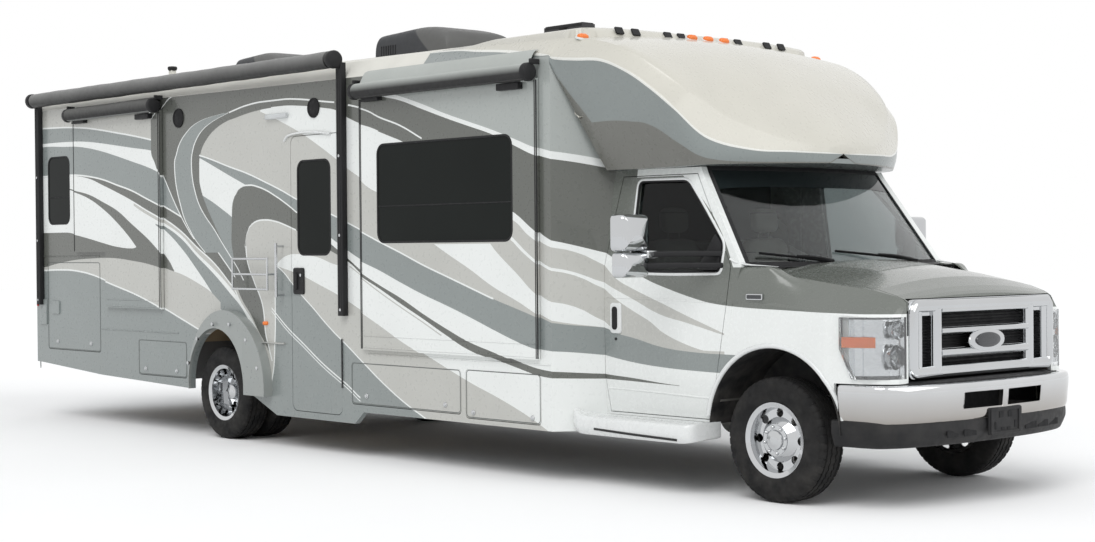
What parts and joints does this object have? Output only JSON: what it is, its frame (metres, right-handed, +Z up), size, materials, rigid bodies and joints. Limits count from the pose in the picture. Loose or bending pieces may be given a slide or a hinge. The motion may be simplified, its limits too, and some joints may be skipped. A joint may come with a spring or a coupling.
{
  "type": "motorhome",
  "caption": "Motorhome with a cab-over bunk on a van chassis, slide-out rooms, a patio awning, twin rear tyres and opening doors and hatches.",
  "frame": {"origin": "on the ground, at the middle of the length and width", "axes": "+X forward, +Y to the driver's left, +Z up"},
  "size_m": [9.68, 3.03, 3.2559],
  "materials": {
    "tyre_black": "matte",
    "wheel_chrome": "polished",
    "steel_grey": "satin",
    "frame_black": "satin",
    "engine_grey": "matte",
    "tank_black": "matte",
    "body_white": "gloss",
    "roof_white": "satin",
    "cap_beige": "gloss",
    "floor_tan": "satin",
    "cab_paint": "gloss",
    "glass_dark": "polished",
    "trim_black": "satin",
    "bright_chrome": "polished",
    "lamp_clear": "polished",
    "lamp_red": "gloss",
    "cab_grey": "matte",
    "seat_fabric": "matte",
    "board_white": "gloss",
    "alu_rail": "satin",
    "cooler_grey": "satin"
  },
  "bodies": {
    "vehicle": {"wall_right": "body_white", "lockers_right": "cab_grey", "wall_left": "body_white", "lockers_left": "cab_grey", "front_axle": "frame_black", "rear_axle": "frame_black", "chassis_frame": "frame_black", "powertrain": "engine_grey", "tanks": "tank_black", "roof": "roof_white", "wall_rear": "body_white", "coach_floor": "floor_tan", "front_cap": "cap_beige", "corner_panels": "body_white", "cab_shell": "cab_paint", "windshield": "glass_dark", "front_fenders": "cab_paint", "grille": "bright_chrome", "headlamps": "lamp_clear", "front_bumper": "bright_chrome", "front_valance": "trim_black", "cab_interior": "cab_grey", "steering_wheel": "trim_black", "cab_seats": "seat_fabric", "running_boards": "board_white", "wheel_flares": "board_white", "coach_windows": "glass_dark", "awning": "trim_black", "roof_air_conditioner": "cooler_grey", "roof_fittings": "roof_white", "tail_lamps": "lamp_red", "side_rails": "alu_rail"},
    "knuckle_right_body": {"knuckle_right": "steel_grey"},
    "knuckle_left_body": {"knuckle_left": "steel_grey"},
    "front_wheel_right_body": {"front_wheel_right": "wheel_chrome", "front_tyre_right": "tyre_black"},
    "front_wheel_left_body": {"front_wheel_left": "wheel_chrome", "front_tyre_left": "tyre_black"},
    "rear_wheels_right_body": {"rear_wheels_right": "wheel_chrome", "rear_tyres_right": "tyre_black"},
    "rear_wheels_left_body": {"rear_wheels_left": "wheel_chrome", "rear_tyres_left": "tyre_black"},
    "cab_door_right_body": {"cab_door_right": "cab_paint", "cab_glass_right": "glass_dark", "mirror_right": "bright_chrome"},
    "cab_door_left_body": {"cab_door_left": "cab_paint", "cab_glass_left": "glass_dark", "mirror_left": "bright_chrome"},
    "entry_door_body": {"entry_door": "body_white", "entry_door_glass": "glass_dark"},
    "hood_body": {"hood": "cab_paint"},
    "slide_front_body": {"slide_front": "body_white", "slide_front_glass": "glass_dark"},
    "slide_rear_body": {"slide_rear": "body_white"},
    "hatch_right_bedroom_body": {"hatch_right_bedroom": "body_white"},
    "hatch_right_rear_body": {"hatch_right_rear": "body_white"},
    "hatch_right_middle_body": {"hatch_right_middle": "body_white"},
    "hatch_right_front_body": {"hatch_right_front": "body_white"},
    "hatch_left_rear_body": {"hatch_left_rear": "body_white"},
    "hatch_left_middle_body": {"hatch_left_middle": "body_white"}
  },
  "joints": [
    {"name": "steer_right", "type": "hinge", "parent": "vehicle", "child": "knuckle_right_body", "pos_m": [3.89, -0.735, 0.372], "axis": [0, 0, 1], "range_deg": [-33, 33]},
    {"name": "front_wheel_right_spin", "type": "hinge", "parent": "knuckle_right_body", "child": "front_wheel_right_body", "pos_m": [3.89, -0.881, 0.372], "axis": [0, 1, 0], "continuous": true},
    {"name": "rear_wheels_right_spin", "type": "hinge", "parent": "vehicle", "child": "rear_wheels_right_body", "pos_m": [-1.698, -1.005, 0.372], "axis": [0, 1, 0], "continuous": true},
    {"name": "steer_left", "type": "hinge", "parent": "vehicle", "child": "knuckle_left_body", "pos_m": [3.89, 0.735, 0.372], "axis": [0, 0, 1], "range_deg": [-33, 33]},
    {"name": "front_wheel_left_spin", "type": "hinge", "parent": "knuckle_left_body", "child": "front_wheel_left_body", "pos_m": [3.89, 0.881, 0.372], "axis": [0, 1, 0], "continuous": true},
    {"name": "rear_wheels_left_spin", "type": "hinge", "parent": "vehicle", "child": "rear_wheels_left_body", "pos_m": [-1.698, 1.005, 0.372], "axis": [0, 1, 0], "continuous": true},
    {"name": "cab_door_right_hinge", "type": "hinge", "parent": "vehicle", "child": "cab_door_right_body", "pos_m": [3.575, -1.008, 1], "axis": [0, 0, 1], "range_deg": [0, 65]},
    {"name": "cab_door_left_hinge", "type": "hinge", "parent": "vehicle", "child": "cab_door_left_body", "pos_m": [3.575, 1.008, 1], "axis": [0, 0, -1], "range_deg": [0, 65]},
    {"name": "entry_door_hinge", "type": "hinge", "parent": "vehicle", "child": "entry_door_body", "pos_m": [0, -1.29, 1.3], "axis": [0, 0, 1], "range_deg": [0, 90]},
    {"name": "hood_hinge", "type": "hinge", "parent": "vehicle", "child": "hood_body", "pos_m": [3.7, 0, 1.372], "axis": [0, -1, 0], "range_deg": [0, 45]},
    {"name": "hatch_right_bedroom_hinge", "type": "hinge", "parent": "vehicle", "child": "hatch_right_bedroom_body", "pos_m": [-4.099, -1.29, 1.423], "axis": [-1, 0, 0], "range_deg": [0, 85]},
    {"name": "hatch_right_rear_hinge", "type": "hinge", "parent": "vehicle", "child": "hatch_right_rear_body", "pos_m": [-2.602, -1.29, 0.766], "axis": [-1, 0, 0], "range_deg": [0, 85]},
    {"name": "hatch_right_middle_hinge", "type": "hinge", "parent": "vehicle", "child": "hatch_right_middle_body", "pos_m": [0.8305, -1.29, 0.695], "axis": [-1, 0, 0], "range_deg": [0, 85]},
    {"name": "hatch_right_front_hinge", "type": "hinge", "parent": "vehicle", "child": "hatch_right_front_body", "pos_m": [1.801, -1.29, 0.7], "axis": [-1, 0, 0], "range_deg": [0, 85]},
    {"name": "hatch_left_rear_hinge", "type": "hinge", "parent": "vehicle", "child": "hatch_left_rear_body", "pos_m": [-3.9, 1.29, 1.18], "axis": [1, 0, 0], "range_deg": [0, 85]},
    {"name": "hatch_left_middle_hinge", "type": "hinge", "parent": "vehicle", "child": "hatch_left_middle_body", "pos_m": [0.783, 1.29, 0.695], "axis": [1, 0, 0], "range_deg": [0, 85]},
    {"name": "slide_front_travel", "type": "slide", "parent": "vehicle", "child": "slide_front_body", "axis": [0, -1, 0], "range_m": [0, 0.5]},
    {"name": "slide_rear_travel", "type": "slide", "parent": "vehicle", "child": "slide_rear_body", "axis": [0, -1, 0], "range_m": [0, 0.5]}
  ],
  "couplings": [
    {"joint": "steer_left", "follows": "steer_right", "ratio": 1}
  ]
}
